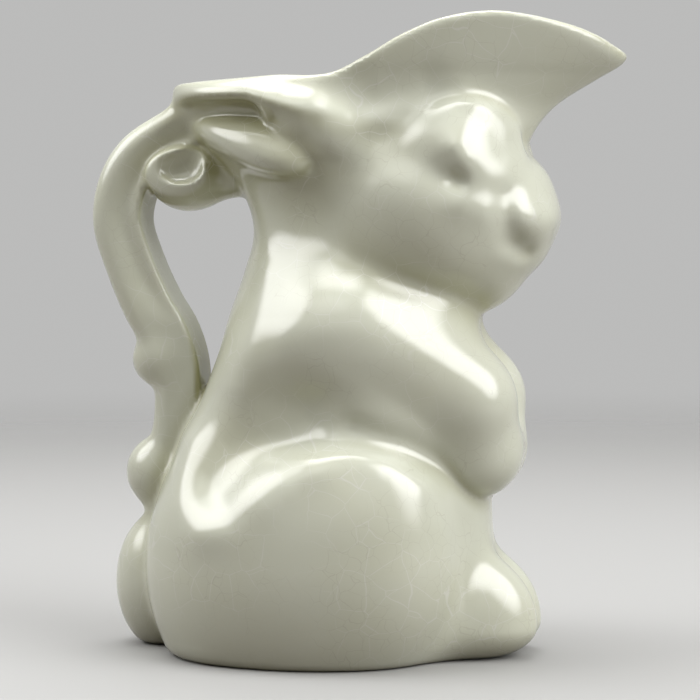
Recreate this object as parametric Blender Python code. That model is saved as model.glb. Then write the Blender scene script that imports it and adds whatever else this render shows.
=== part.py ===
"""Rabbit pitcher: a glazed earthenware jug in the form of a sitting rabbit.

The hollow body is one casting. The ears, forelegs, hind feet, tail and scroll handle are cast or
pressed by themselves and luted on with slip, so each is its own solid, coped to what carries it.

Frame: metres, +Z up, +X the way the rabbit looks. The ground is z = 0 and y = 0 is the mirror plane.
The rabbit's right side is at -Y. Run it with: blender --background --python part.py
"""

import math
from collections import namedtuple

import bmesh
import bpy
from mathutils import Euler, Matrix, Vector

MM = 0.001
RIGHT, LEFT = -1, 1

# Clay
WALL = 4.0 * MM
FLOOR = 5.0 * MM
SLIP_GAP = 0.3 * MM

# The jug form, bottom to top: the torso, the neck, and the collar that opens into the spout.
# Each section lies level. Along X it runs from back to front and is widest at widest.
# A point of 0.5 makes its front a half ellipse, and more makes it pointed.
Section = namedtuple("Section", "height back widest front half_width point")
JUG = [
    Section(0 * MM, -50 * MM, -6 * MM, 36 * MM, 31 * MM, 0.5),
    Section(6 * MM, -55 * MM, -7 * MM, 39.5 * MM, 33.5 * MM, 0.5),
    Section(18 * MM, -58.5 * MM, -8 * MM, 41 * MM, 35 * MM, 0.5),
    Section(32 * MM, -59.5 * MM, -8 * MM, 41.5 * MM, 35 * MM, 0.5),
    Section(46 * MM, -57 * MM, -7 * MM, 41 * MM, 34 * MM, 0.5),
    Section(60 * MM, -51.5 * MM, -5 * MM, 40 * MM, 33.5 * MM, 0.5),
    Section(75 * MM, -45 * MM, -3 * MM, 38.5 * MM, 34 * MM, 0.5),
    Section(88 * MM, -39.8 * MM, -1 * MM, 37.5 * MM, 35 * MM, 0.5),
    Section(100 * MM, -36.4 * MM, 0 * MM, 37.5 * MM, 30 * MM, 0.5),
    Section(112 * MM, -32.2 * MM, 1 * MM, 42 * MM, 24 * MM, 0.5),
    Section(124 * MM, -29.5 * MM, 2 * MM, 46 * MM, 22.5 * MM, 0.5),
    Section(136 * MM, -33 * MM, 2 * MM, 48 * MM, 22.5 * MM, 0.55),
    Section(146 * MM, -40 * MM, 1 * MM, 50.5 * MM, 23 * MM, 0.6),
    Section(154 * MM, -46.5 * MM, 0 * MM, 54 * MM, 23.5 * MM, 0.65),
    Section(161 * MM, -51 * MM, 1 * MM, 60.3 * MM, 24 * MM, 0.72),
    Section(168 * MM, -54.5 * MM, 3 * MM, 71 * MM, 24.5 * MM, 0.8),
    Section(172 * MM, -56 * MM, 5 * MM, 78.5 * MM, 25 * MM, 0.85),
    Section(177 * MM, -57.5 * MM, 7 * MM, 84 * MM, 25.5 * MM, 0.85),
    Section(188 * MM, -59.5 * MM, 10 * MM, 94 * MM, 26.5 * MM, 0.85),
]
RING_STEP = 7.5 * MM
RING_POINTS = 36

# The rim, seen from the side: level over the ears, then up and over the spout to its tip.
RIM = [
    (-46 * MM, 167 * MM),
    (-28 * MM, 167.5 * MM),
    (-4 * MM, 169 * MM),
    (8 * MM, 174 * MM),
    (18 * MM, 179.5 * MM),
    (30 * MM, 184.2 * MM),
    (45 * MM, 186 * MM),
    (61 * MM, 183.6 * MM),
    (72 * MM, 180.4 * MM),
    (80.5 * MM, 174.5 * MM),
]
RIM_STEPS = 4

# Masses that swell out of the jug form, cast in one with it
HEAD_CENTRE = Vector((27 * MM, 0, 130 * MM))
HEAD_RADII = Vector((31 * MM, 33.5 * MM, 30 * MM))
MUZZLE_CENTRE = Vector((42 * MM, 0, 126 * MM))
MUZZLE_RADII = Vector((19.5 * MM, 19 * MM, 15.5 * MM))
BROW_CENTRE = Vector((33 * MM, 16 * MM, 144.5 * MM))
BROW_RADII = Vector((20 * MM, 16 * MM, 18.5 * MM))
TEMPLE_CENTRE = Vector((15 * MM, 14 * MM, 142.5 * MM))
TEMPLE_RADII = Vector((21 * MM, 14.5 * MM, 15.5 * MM))
HAUNCH_CENTRE = Vector((-12 * MM, 17 * MM, 25 * MM))
HAUNCH_RADII = Vector((45 * MM, 30 * MM, 47 * MM))
KNEE_CENTRE = Vector((-4 * MM, 17 * MM, 34 * MM))
KNEE_RADII = Vector((37 * MM, 29.5 * MM, 38 * MM))
KNEE_POWER = 2.4

# Ears, laid back along the collar: a leaf with a hollow in its outer face
EAR_AT = (-28.5 * MM, 155 * MM)
EAR_RADII = Vector((25.5 * MM, 7 * MM, 13 * MM))
EAR_TAPER = 0.35
EAR_PITCH = math.radians(21)
EAR_YAW = math.radians(22)
EAR_HOLLOW_DEPTH = 4.5 * MM
EAR_RIM = 4.0 * MM

# Forelegs: from the shoulder to a tall paw on the chest, with its wrist over its toes. A spread says how
# far from the mirror plane its middle lies, and the two paws are cut there.
SHOULDER_AT = (0 * MM, 92 * MM)
SHOULDER_RADIUS = 18 * MM
SHOULDER_SINK = 10 * MM
WRIST_HEIGHT = 74.5 * MM
TOES_HEIGHT = 61 * MM
PAW_RADIUS = 14 * MM
PAW_SINK = 3.7 * MM
WRIST_SPREAD = 12.5 * MM
TOES_SPREAD = 6.5 * MM

# Hind feet, each a loaf whose middle lies inside the jug's front, and the tail
FOOT_HEIGHT = 9 * MM
FOOT_SINK = 9 * MM
FOOT_SPREAD = 6 * MM
FOOT_RADII = Vector((24.5 * MM, 14.5 * MM, 23 * MM))
FOOT_SOLE = 11 * MM
TAIL_HEIGHT = 19 * MM
TAIL_RADII = Vector((14.5 * MM, 14.5 * MM, 21.5 * MM))
TAIL_SINK = 0.5 * MM

# Handle. It roots in the collar, bows out behind over its volute, comes in to a knob and runs down the
# back to its foot. A grip says how far its middle line stands behind the jug's back, how far it has
# risen (0 at the knob, 1 at the volute's middle, -1 at the foot), and half its thickness there.
HANDLE_ROOT_HEIGHT = 159.5 * MM
VOLUTE_HEIGHT = 141 * MM
KNOB_HEIGHT = 86.5 * MM
HANDLE_FOOT_HEIGHT = 34 * MM
HANDLE_ROOT_SINK = 6 * MM
HANDLE_ROOT_HALF_THICKNESS = 6.6 * MM
Grip = namedtuple("Grip", "reach rise half_thickness")
HANDLE = [
    Grip(8 * MM, 1.23, 7.2 * MM),
    Grip(23.5 * MM, 1.1, 8.0 * MM),
    Grip(35.4 * MM, 0.945, 8.3 * MM),
    Grip(41.6 * MM, 0.745, 8.3 * MM),
    Grip(35.6 * MM, 0.505, 8.1 * MM),
    Grip(25.8 * MM, 0.285, 8.2 * MM),
    Grip(18.7 * MM, 0.14, 8.7 * MM),
    Grip(16.2 * MM, 0.0, 10.6 * MM),
    Grip(10.2 * MM, -0.15, 9.0 * MM),
    Grip(6.4 * MM, -0.295, 7.0 * MM),
    Grip(4.6 * MM, -0.42, 7.0 * MM),
    Grip(6.3 * MM, -0.6, 9.5 * MM),
    Grip(3.2 * MM, -0.76, 8.2 * MM),
    Grip(0.3 * MM, -0.885, 6.6 * MM),
    Grip(-6 * MM, -1.0, 5.0 * MM),
]
HANDLE_WIDTH_TO_THICKNESS = 1.18
HANDLE_STEPS = 3
HANDLE_BEVEL_STEPS = 3
VOLUTE_REACH = 14.5 * MM
VOLUTE_RADIUS = 11.5 * MM
VOLUTE_WIDTH = 22 * MM
VOLUTE_ROUND = 4 * MM

# Glaze
GLAZE_COLOUR = (0.72, 0.73, 0.62, 1.0)
GLAZE_ROUGHNESS = 0.12

# How far the cutters run past what they cut, and how finely round forms are faceted
SPARE = 20 * MM
LARGE_STEPS = (24, 14)
SMALL_STEPS = (20, 13)
SHARP_ANGLE = math.radians(40)
WELD = 0.01 * MM


# Curves through given points


def hermite(xs, ys, x):
    """A smooth curve through the points (xs, ys), read at x, and straight on past its ends."""
    slopes = []
    for i in range(len(xs)):
        before, after = max(i - 1, 0), min(i + 1, len(xs) - 1)
        slopes.append((ys[after] - ys[before]) / (xs[after] - xs[before]))
    if x <= xs[0]:
        return ys[0] + slopes[0] * (x - xs[0])
    if x >= xs[-1]:
        return ys[-1] + slopes[-1] * (x - xs[-1])
    i = max(k for k in range(len(xs) - 1) if xs[k] <= x)
    span = xs[i + 1] - xs[i]
    t = (x - xs[i]) / span
    rise = ys[i + 1] - ys[i]
    start, end = slopes[i] * span, slopes[i + 1] * span
    return ys[i] + t * start + t * t * (3 * rise - 2 * start - end) + t**3 * (start + end - 2 * rise)


def jug_at(height):
    """The jug's section at this height. Below the ground it keeps its lowest section."""
    heights = [section.height for section in JUG]
    height_read = max(height, heights[0])
    values = [hermite(heights, [s[i] for s in JUG], height_read) for i in range(1, len(Section._fields))]
    return Section(height, *values)


def jug_slopes(height, step=1.0 * MM):
    """How steeply the jug's back, front and side lean at this height, as run over rise."""
    low, high = jug_at(height - step), jug_at(height + step)
    rise = 2 * step
    return (
        (high.back - low.back) / rise,
        (high.front - low.front) / rise,
        (high.half_width - low.half_width) / rise,
    )


def jug_side(x, height):
    """Half the jug's width at this place along it."""
    section = jug_at(height)
    if x >= section.widest:
        along = (x - section.widest) / (section.front - section.widest)
        power = section.point
    else:
        along = (section.widest - x) / (section.widest - section.back)
        power = 0.5
    return section.half_width * max(1 - along * along, 0) ** power


# Objects


def collection_named(name):
    made = bpy.data.collections.new(name)
    bpy.context.scene.collection.children.link(made)
    return made


def glaze_material():
    material = bpy.data.materials.new("celadon_glaze")
    material.use_nodes = True
    shader = material.node_tree.nodes["Principled BSDF"]
    shader.inputs["Base Color"].default_value = GLAZE_COLOUR
    shader.inputs["Roughness"].default_value = GLAZE_ROUGHNESS
    shader.inputs["Metallic"].default_value = 0.0
    return material


def place(name, bm, collection):
    """An object of this name that holds the bmesh, with its faces turned outwards."""
    bmesh.ops.recalc_face_normals(bm, faces=bm.faces)
    mesh = bpy.data.meshes.new(name)
    bm.to_mesh(mesh)
    bm.free()
    made = bpy.data.objects.new(name, mesh)
    collection.objects.link(made)
    return made


def boolean(target, operation, *others):
    for other in others:
        modifier = target.modifiers.new(f"{operation.lower()}_{other.name}", "BOOLEAN")
        modifier.operation = operation
        modifier.object = other
        modifier.solver = "EXACT"


def as_tool(made):
    """Marks an object that only shapes others."""
    made.hide_render = True
    made.display_type = "WIRE"
    return made


def finish(made, material):
    made.data.materials.append(material)
    made.data.shade_smooth()
    made.data.set_sharp_from_angle(angle=SHARP_ANGLE)
    return made


# Forms


def ellipsoid(name, centre, radii, collection, grow=0.0, steps=LARGE_STEPS, power=2.0):
    """An ellipsoid, or a squarer form for powers over 2."""
    bm = bmesh.new()
    bmesh.ops.create_uvsphere(bm, u_segments=steps[0], v_segments=steps[1], radius=1)
    for vert in bm.verts:
        vert.co = Vector([math.copysign(abs(c) ** (2 / power), c) for c in vert.co])
    size = radii + Vector((grow, grow, grow))
    bm.transform(Matrix.LocRotScale(centre, None, size))
    return place(name, bm, collection)


def box(name, low, high, collection):
    bm = bmesh.new()
    low, high = Vector(low), Vector(high)
    bmesh.ops.create_cube(bm, size=1, matrix=Matrix.LocRotScale((low + high) / 2, None, high - low))
    return place(name, bm, collection)


def limb(name, balls, collection):
    """A round, tapered limb: the hull of balls, each a centre and a radius."""
    cloud = bmesh.new()
    for centre, radius in balls:
        bmesh.ops.create_uvsphere(
            cloud,
            u_segments=SMALL_STEPS[0],
            v_segments=SMALL_STEPS[1],
            radius=radius,
            matrix=Matrix.Translation(centre),
        )
    hull = bmesh.new()
    for vert in cloud.verts:
        hull.verts.new(vert.co)
    cloud.free()
    made = bmesh.ops.convex_hull(hull, input=hull.verts)
    inside = [v for v in made["geom_interior"] + made["geom_unused"] if isinstance(v, bmesh.types.BMVert)]
    bmesh.ops.delete(hull, geom=list(set(inside)), context="VERTS")
    return place(name, hull, collection)


def loft(name, rings, collection):
    """A closed skin over level rings that all have the same number of points."""
    bm = bmesh.new()
    rows = [[bm.verts.new(point) for point in ring] for ring in rings]
    count = len(rows[0])
    for low, high in zip(rows, rows[1:]):
        for i in range(count):
            after = (i + 1) % count
            bm.faces.new((low[i], low[after], high[after], high[i]))
    bm.faces.new(rows[0])
    bm.faces.new(rows[-1])
    return place(name, bm, collection)


def outline_solid(name, points, half_depth, collection):
    """A flat outline in X and Z, made half_depth thick each way along Y."""
    curve = bpy.data.curves.new(name, "CURVE")
    curve.dimensions = "2D"
    curve.fill_mode = "BOTH"
    curve.extrude = half_depth
    spline = curve.splines.new("POLY")
    spline.points.add(len(points) - 1)
    for point, (x, z) in zip(spline.points, points):
        point.co = (x, z, 0, 1)
    spline.use_cyclic_u = True
    drawn = bpy.data.objects.new(name, curve)
    drawn.rotation_euler = (math.pi / 2, 0, 0)
    collection.objects.link(drawn)
    return mesh_of_curve(drawn, collection)


def mesh_of_curve(drawn, collection):
    """The curve object as a welded mesh object of the same name, in its place."""
    bpy.context.view_layer.update()
    graph = bpy.context.evaluated_depsgraph_get()
    mesh = bpy.data.meshes.new_from_object(drawn.evaluated_get(graph))
    mesh.transform(drawn.matrix_world)
    name = drawn.name
    bpy.data.objects.remove(drawn)
    bm = bmesh.new()
    bm.from_mesh(mesh)
    bpy.data.meshes.remove(mesh)
    bmesh.ops.remove_doubles(bm, verts=bm.verts, dist=WELD)
    return place(name, bm, collection)


# The body casting


def jug_ring(height, wall, grow):
    """The points of one level section, drawn in by the wall's slant thickness or grown by a gap."""
    section = jug_at(height)
    lean_back, lean_front, lean_side = (math.hypot(1, slope) for slope in jug_slopes(height))
    back = section.back + wall * lean_back - grow
    front = section.front - wall * lean_front + grow
    half_width = section.half_width - wall * lean_side + grow
    ring = []
    for i in range(RING_POINTS):
        turn = 2 * math.pi * i / RING_POINTS
        along, across = math.cos(turn), math.sin(turn)
        reach = front - section.widest if along > 0 else section.widest - back
        power = section.point if along > 0 else 0.5
        y = math.copysign(half_width * abs(across) ** (2 * power), across)
        ring.append((section.widest + reach * along, y, height))
    return ring


def jug_solid(name, low, collection, wall=0.0, grow=0.0):
    high = max(z for _, z in RIM) + SPARE
    count = round((high - low) / RING_STEP)
    heights = [low + (high - low) * i / count for i in range(count + 1)]
    return loft(name, [jug_ring(height, wall, grow) for height in heights], collection)


def swell(target, prefix, collection, grow, outside):
    """Joins the masses that swell out of the jug form to target. The room inside has only the largest."""
    masses = [ellipsoid(prefix + "head", HEAD_CENTRE, HEAD_RADII, collection, grow)]
    paired = [("haunch", HAUNCH_CENTRE, HAUNCH_RADII, 2.0)]
    if outside:
        masses.append(ellipsoid(prefix + "muzzle", MUZZLE_CENTRE, MUZZLE_RADII, collection, grow))
        paired.append(("knee", KNEE_CENTRE, KNEE_RADII, KNEE_POWER))
        paired.append(("brow", BROW_CENTRE, BROW_RADII, 2.0))
        paired.append(("temple", TEMPLE_CENTRE, TEMPLE_RADII, 2.0))
    for side, word in ((RIGHT, "right_"), (LEFT, "left_")):
        for form, centre, radii, power in paired:
            at_side = centre * Vector((1, side, 1))
            masses.append(ellipsoid(prefix + word + form, at_side, radii, collection, grow, power=power))
    for mass in masses:
        as_tool(mass)
    boolean(target, "UNION", *masses)


def body_form(name, collection, tools, prefix, grow=0.0):
    """The body as a solid lump, its outside grown by a gap."""
    form = jug_solid(name, -SPARE, collection, grow=grow)
    swell(form, prefix, tools, grow, outside=True)
    return form


def cavity_form(tools):
    """The room inside the walls, down to the floor and up past the rim."""
    form = as_tool(jug_solid("cavity", 0.0, tools, wall=WALL))
    swell(form, "inner_", tools, -WALL, outside=False)
    boolean(form, "DIFFERENCE", level_cutter("floor_cutter", FLOOR, tools))
    return form


def rim_cutter(tools):
    """Everything over the rim line."""
    xs, zs = [x for x, _ in RIM], [z for _, z in RIM]
    count = RIM_STEPS * (len(RIM) - 1)
    line = [xs[0] + (xs[-1] - xs[0]) * i / count for i in range(count + 1)]
    points = [(x, hermite(xs, zs, x)) for x in line]
    behind = JUG[-1].back - SPARE
    ahead = JUG[-1].front + SPARE
    top = max(zs) + 2 * SPARE
    outline = [(behind, zs[0]), *points, (ahead, zs[-1] - SPARE), (ahead, top), (behind, top)]
    half_depth = max(section.half_width for section in JUG) + SPARE
    return as_tool(outline_solid("rim_cutter", outline, half_depth, tools))


def level_cutter(name, top, tools):
    """Everything under this height."""
    ends = [end for section in JUG for end in (-section.back, section.front)]
    across = max(ends) + SPARE
    down = HAUNCH_RADII.z + SPARE
    return as_tool(box(name, (-across, -across, -down), (across, across, top), tools))


# The pieces that are luted on


def ear(name, side, collection, tools):
    """A leaf, round at the head and pointed behind, with its face hollowed."""
    x, height = EAR_AT
    centre = Vector((x, side * jug_side(x, height), height))
    turn = Euler((0, EAR_PITCH, side * EAR_YAW))
    leaf = ellipsoid(name, Vector(), EAR_RADII, collection, steps=SMALL_STEPS)
    taper(leaf)
    to_place = Matrix.LocRotScale(centre, turn, None)
    leaf.data.transform(to_place)
    inner = EAR_RADII - Vector((EAR_RIM, 0, EAR_RIM))
    hollow = ellipsoid(name + "_hollow", Vector(), inner, tools, steps=SMALL_STEPS)
    taper(hollow)
    outwards = Vector((0, side * (2 * EAR_RADII.y - EAR_HOLLOW_DEPTH), 0))
    hollow.data.transform(to_place @ Matrix.Translation(outwards))
    boolean(leaf, "DIFFERENCE", as_tool(hollow))
    return leaf


def taper(leaf):
    """Narrows a leaf towards its tip, at -X, and widens it towards its root."""
    for vert in leaf.data.vertices:
        vert.co.z *= 1 + EAR_TAPER * vert.co.x / EAR_RADII.x


def foreleg(name, side, collection):
    x, height = SHOULDER_AT
    shoulder_y = jug_side(x, height) - SHOULDER_SINK
    balls = [(Vector((x, side * shoulder_y, height)), SHOULDER_RADIUS)]
    for height, spread in ((WRIST_HEIGHT, WRIST_SPREAD), (TOES_HEIGHT, TOES_SPREAD)):
        x = jug_at(height).front - PAW_SINK
        balls.append((Vector((x, side * spread, height)), PAW_RADIUS))
    return limb(name, balls, collection)


def hind_foot(name, side, collection):
    """A loaf, round on top and flatter towards its sole."""
    loaf = ellipsoid(name, Vector(), FOOT_RADII, collection, steps=SMALL_STEPS)
    for vert in loaf.data.vertices:
        if vert.co.z < 0:
            vert.co.z *= FOOT_SOLE / FOOT_RADII.z
    x = jug_at(FOOT_HEIGHT).front - FOOT_SINK
    loaf.data.transform(Matrix.Translation((x, side * FOOT_SPREAD, FOOT_HEIGHT)))
    return loaf


def middle_cutter(name, side, tools):
    """Everything on the other side of the mirror plane, and half a slip gap on this one."""
    far = JUG[-1].front + SPARE
    edge = side * SLIP_GAP / 2
    low, high = min(edge, -side * far), max(edge, -side * far)
    return as_tool(box(name, (-far, low, -far), (far, high, far), tools))


def tail(name, collection):
    centre = Vector((jug_at(TAIL_HEIGHT).back + TAIL_SINK, 0, TAIL_HEIGHT))
    return ellipsoid(name, centre, TAIL_RADII, collection, steps=SMALL_STEPS)


def handle_path():
    """The points of the strap's middle line, each with half the strap's thickness there."""
    root_x = jug_at(HANDLE_ROOT_HEIGHT).back + HANDLE_ROOT_SINK
    path = [((root_x, 0, HANDLE_ROOT_HEIGHT), HANDLE_ROOT_HALF_THICKNESS)]
    for grip in HANDLE:
        span = VOLUTE_HEIGHT - KNOB_HEIGHT if grip.rise > 0 else KNOB_HEIGHT - HANDLE_FOOT_HEIGHT
        height = KNOB_HEIGHT + grip.rise * span
        path.append(((jug_at(height).back - grip.reach, 0, height), grip.half_thickness))
    return path


def handle(name, collection, tools, grow=0.0):
    """A scroll handle: a strap bowed out behind the back, over a volute that closes its top."""
    curve = bpy.data.curves.new(name, "CURVE")
    curve.dimensions = "3D"
    curve.bevel_depth = 1.0
    curve.bevel_resolution = HANDLE_BEVEL_STEPS
    curve.resolution_u = HANDLE_STEPS
    curve.use_fill_caps = True
    spline = curve.splines.new("BEZIER")
    path = handle_path()
    spline.bezier_points.add(len(path) - 1)
    for point, (place_on_path, half_thickness) in zip(spline.bezier_points, path):
        point.co = place_on_path
        point.radius = half_thickness + grow
        point.handle_left_type = point.handle_right_type = "AUTO"
    drawn = bpy.data.objects.new(name, curve)
    drawn.scale.y = HANDLE_WIDTH_TO_THICKNESS
    collection.objects.link(drawn)
    strap = mesh_of_curve(drawn, collection)
    boolean(strap, "UNION", volute(name + "_volute", tools, grow))
    return strap


def volute(name, tools, grow):
    bm = bmesh.new()
    centre = Vector((jug_at(VOLUTE_HEIGHT).back - VOLUTE_REACH, 0, VOLUTE_HEIGHT))
    radius = VOLUTE_RADIUS + grow
    bmesh.ops.create_cone(
        bm,
        cap_ends=True,
        segments=LARGE_STEPS[0],
        radius1=radius,
        radius2=radius,
        depth=VOLUTE_WIDTH + 2 * grow,
        matrix=Matrix.LocRotScale(centre, Euler((math.pi / 2, 0, 0)), None),
    )
    rims = [edge for edge in bm.edges if any(len(face.verts) > 4 for face in edge.link_faces)]
    bmesh.ops.bevel(bm, geom=rims, offset=VOLUTE_ROUND, segments=3, profile=0.5, affect="EDGES")
    return as_tool(place(name, bm, tools))


def main():
    for old in list(bpy.data.objects):
        bpy.data.objects.remove(old)
    parts, tools = collection_named("rabbit_pitcher"), collection_named("cutters")
    glaze = glaze_material()
    ground = level_cutter("ground_cutter", 0.0, tools)

    body = body_form("body_shell", parts, tools, "outer_")
    boolean(body, "DIFFERENCE", cavity_form(tools), rim_cutter(tools), ground)
    seat = as_tool(body_form("body_seat", tools, tools, "seat_", grow=SLIP_GAP))

    strap = handle("handle", parts, tools)
    strap_seat = as_tool(handle("handle_seat", tools, tools, grow=SLIP_GAP))
    boolean(strap, "DIFFERENCE", seat)
    scut = tail("tail", parts)
    boolean(scut, "DIFFERENCE", seat, strap_seat, ground)
    pieces = [body, strap, scut]

    for side, word in ((RIGHT, "right_"), (LEFT, "left_")):
        leaf = ear(word + "ear", side, parts, tools)
        boolean(leaf, "DIFFERENCE", seat, strap_seat)
        beyond = middle_cutter(word + "middle_cutter", side, tools)
        leg = foreleg(word + "foreleg", side, parts)
        boolean(leg, "DIFFERENCE", seat, beyond)
        foot = hind_foot(word + "hind_foot", side, parts)
        boolean(foot, "DIFFERENCE", seat, ground, beyond)
        pieces += [leaf, leg, foot]

    for piece in pieces:
        finish(piece, glaze)


main()
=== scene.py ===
"""The look of the rabbit pitcher: a jug in the form of a sitting rabbit, under a pale celadon glaze.

The forms are sculpted in millimetres as one smooth distance field, negative inside the clay. They start
from the same sizes as the part's solids. The field is then skinned piece by piece, so that each CAD node
has a closed mesh of its own and the glaze runs on over the seams, as it does on the real jug.

Frame: +Z up, +X the way the rabbit looks, its right side at -Y, the ground at z = 0.
"""

import math

import bpy
import numpy as np
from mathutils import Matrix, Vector


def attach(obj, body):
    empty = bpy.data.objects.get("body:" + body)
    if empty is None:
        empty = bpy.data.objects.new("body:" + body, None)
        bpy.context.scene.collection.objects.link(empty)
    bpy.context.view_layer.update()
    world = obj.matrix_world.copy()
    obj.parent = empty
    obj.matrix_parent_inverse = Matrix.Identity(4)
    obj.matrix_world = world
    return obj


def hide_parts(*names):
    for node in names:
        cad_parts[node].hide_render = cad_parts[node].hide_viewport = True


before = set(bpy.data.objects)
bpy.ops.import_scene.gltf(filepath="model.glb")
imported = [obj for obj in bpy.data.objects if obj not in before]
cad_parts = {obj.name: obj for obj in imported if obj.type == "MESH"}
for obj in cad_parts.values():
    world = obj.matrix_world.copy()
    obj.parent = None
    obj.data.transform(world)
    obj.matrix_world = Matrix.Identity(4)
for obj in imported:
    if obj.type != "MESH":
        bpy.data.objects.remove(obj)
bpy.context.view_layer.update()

MM = 0.001
# The sculpting grid, and the step and the reach of the tables that the jug's curves are read from
GRID = 1.25
TABLE_STEP = 0.5
TABLE_HEIGHTS = (-30.0, 215.0)
TABLE_LENGTHS = (-100.0, 110.0)
# The distance that stands for far away
FAR = 60.0

# Clay
WALL = 4.0
FLOOR = 5.0
HOLLOW_FILLET = 10.0
HOLLOW_EDGE = 4.0
HOLLOW_FLOOR_ROUND = 6.0
BASE_ROUND = 3.0

# The jug form, bottom to top: height, back, widest place, front, half width, and how pointed its
# front is
JUG = np.array([
    (0, -50, -6, 36, 31, 0.5),
    (6, -55, -7, 39.5, 33.5, 0.5),
    (18, -58.5, -8, 41, 35, 0.5),
    (32, -59.5, -8, 41.5, 35, 0.5),
    (46, -57, -7, 41, 34, 0.5),
    (60, -51.5, -5, 40, 33.5, 0.5),
    (75, -45, -3, 38.5, 34, 0.5),
    (88, -39.8, -1, 37.5, 35, 0.5),
    (100, -36.4, 0, 37.5, 29.6, 0.5),
    (112, -32.2, 1, 42, 25.2, 0.5),
    (124, -29.5, 2, 46, 22.0, 0.5),
    (136, -33, 2, 48, 22.8, 0.55),
    (146, -40, 1, 50.5, 23.6, 0.6),
    (154, -46.5, 0, 54, 24.2, 0.65),
    (161, -51, 1, 60.3, 24.3, 0.72),
    (168, -54.5, 3, 71.6, 24.5, 0.8),
    (172, -56, 5, 78.8, 25, 0.83),
    (177, -57.5, 7, 86.5, 25.5, 0.85),
    (188, -59.5, 10, 101, 26.5, 0.87),
])
# The round of the front's edge, and the share of the way from the widest place to the front over which
# the section turns pointed
PROW_ROUND = 2.5
PROW_SPAN = (0, 0.5)

# The rim from the side: x, z
RIM = np.array([
    (-46, 167),
    (-28, 167.6),
    (-4, 169),
    (8, 174),
    (18, 179.5),
    (30, 184.2),
    (45, 186),
    (61, 183.6),
    (72, 180.4),
    (82, 174.8),
])
# The lip's round edge, and where along x it grows to that of the spout's tip
LIP_ROUND = 4.0
SPOUT_TIP_ROUND = 8.0
SPOUT_TIP_REACH = (55, 80)

# Masses that swell out of the jug: centre and radii, on the left side where there are two
HEAD = ((25.5, 0, 130), (29.5, 33.5, 30))
CHEEK = ((19, 8.5, 133), (21, 22, 23))
MUZZLE = ((40, 0, 128.5), (24, 21.5, 17))
MUZZLE_POWER = 2.5
CHIN = ((36, 0, 113), (13, 16, 11.5))
BROW = ((33, 16, 144.5), (20, 16, 18.5))
TEMPLE = ((17, 12.5, 142.5), (30, 15, 15.5))
HAUNCH = ((-12, 17, 25), (45, 29, 44))
KNEE = ((-4, 17, 33.5), (37, 29.5, 36.5))
KNEE_POWER = 2.4

# Fillets between those masses
CHEEK_FILLET = 10.0
TEMPLE_FILLET = 8.0
BROW_FILLET = 5.0
MUZZLE_FILLET = 10.0
CHIN_FILLET = 10.0
KNEE_FILLET = 10.0
# The head's fillet against the jug, under the chin, along the jaw and over the brow, and the heights
# between which it changes
NECK_FILLET = 4.0
JAW_FILLET = 16.0
CROWN_FILLET = 5.0
JAW_HEIGHTS = (110, 126)
CROWN_HEIGHTS = (136, 150)
# The haunch's fillet against the jug, at its front and at the rump, and how far back it changes
HAUNCH_FILLET = 4.0
RUMP_FILLET = 18.0
RUMP_REACH = (15, 40)

# The face seen from the side: a straight bridge and chin that meet at the nose, at angles from upright,
# and how slowly they fall back towards the cheeks
NOSE_TIP = (62.2, 128.5)
BRIDGE_LEAN = math.radians(19.3)
CHIN_LEAN = math.radians(22.5)
NOSE_ROUND = 5.0
FACE_CURVE = 60.0

# Soft hollows and swellings pressed into the body's sides: the line they follow in x and z, their
# radius, and their depth, which is negative for a swelling
PRESSED = [
    # Eye, lid and brow
    ([(18, 144.5), (25, 143), (31, 140)], 5.5, 0.5),
    ([(34.5, 147), (36, 144.5)], 4.4, -1.5),
    ([(37, 157.4), (44, 154), (46.6, 146)], 3.0, 0.35),
    ([(4, 152.5), (11, 155.5), (25, 160.3), (35, 162), (42, 159), (49, 154.5)], 4.0, -1.0),
    ([(30, 140), (35, 137)], 4.0, 0.5),
    ([(34, 138.4), (35, 137.8)], 2.6, 1.2),
    # Cheekbone, mouth and muzzle
    ([(38, 131.5), (42, 130)], 5.5, -1.5),
    ([(49.8, 120.4), (51.8, 118.8)], 3.4, 1.9),
    ([(52.5, 128.5), (57, 126.5)], 5.5, -1.8),
    ([(47.5, 134), (48, 126)], 3.5, 0.7),
    # Collar, and in and under the ear
    ([(2, 167.5), (10, 163), (24, 165)], 7.0, 1.6),
    ([(-42, 158), (-25, 156.5), (-14, 153.5), (-7, 148)], 5.0, 2.4),
    ([(-3, 145), (-9, 140), (-20, 137)], 11.0, 2.0),
    # Neck and back
    ([(-8, 134), (-9.5, 122)], 8.0, 0.8),
    ([(-21, 110), (-24, 96), (-28, 80)], 6.0, -1.3),
    # Round the arm and the haunch
    ([(6, 112), (16, 108.5), (27, 106), (38, 104)], 5.0, 1.2),
    ([(-14, 80), (-8, 75)], 11.0, 2.2),
    ([(-8, 69.5), (-18, 64.5), (-27, 57.5), (-33, 51)], 10.0, 4.0),
    ([(-30, 42), (-25, 47), (-15, 54), (-4, 59.5)], 7.5, -1.6),
    ([(-4, 60), (8, 62.5), (18, 60.5), (26, 54)], 6.0, -1.0),
    ([(-46, 62), (-42, 47), (-38, 40)], 7.0, -1.4),
    ([(6, 68), (19, 63.5), (30, 57.5), (39, 52)], 4.5, 2.5),
]
# They fade out towards the middle plane, and reach this far from the skin
PRESSED_FADE = (0, 14)
PRESSED_REACH = 12.0

# Ears, laid back along the collar: a ledge that slopes out from the rim and runs down into the temple
# as a ridge, and under it a lobe
EAR_LEDGE_TOP = 168.0
EAR_LEDGE_OUT = 1.6
EAR_LEDGE_ROUND = 7.5
EAR_LEDGE_RIM_ROUND = 2.5
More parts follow.
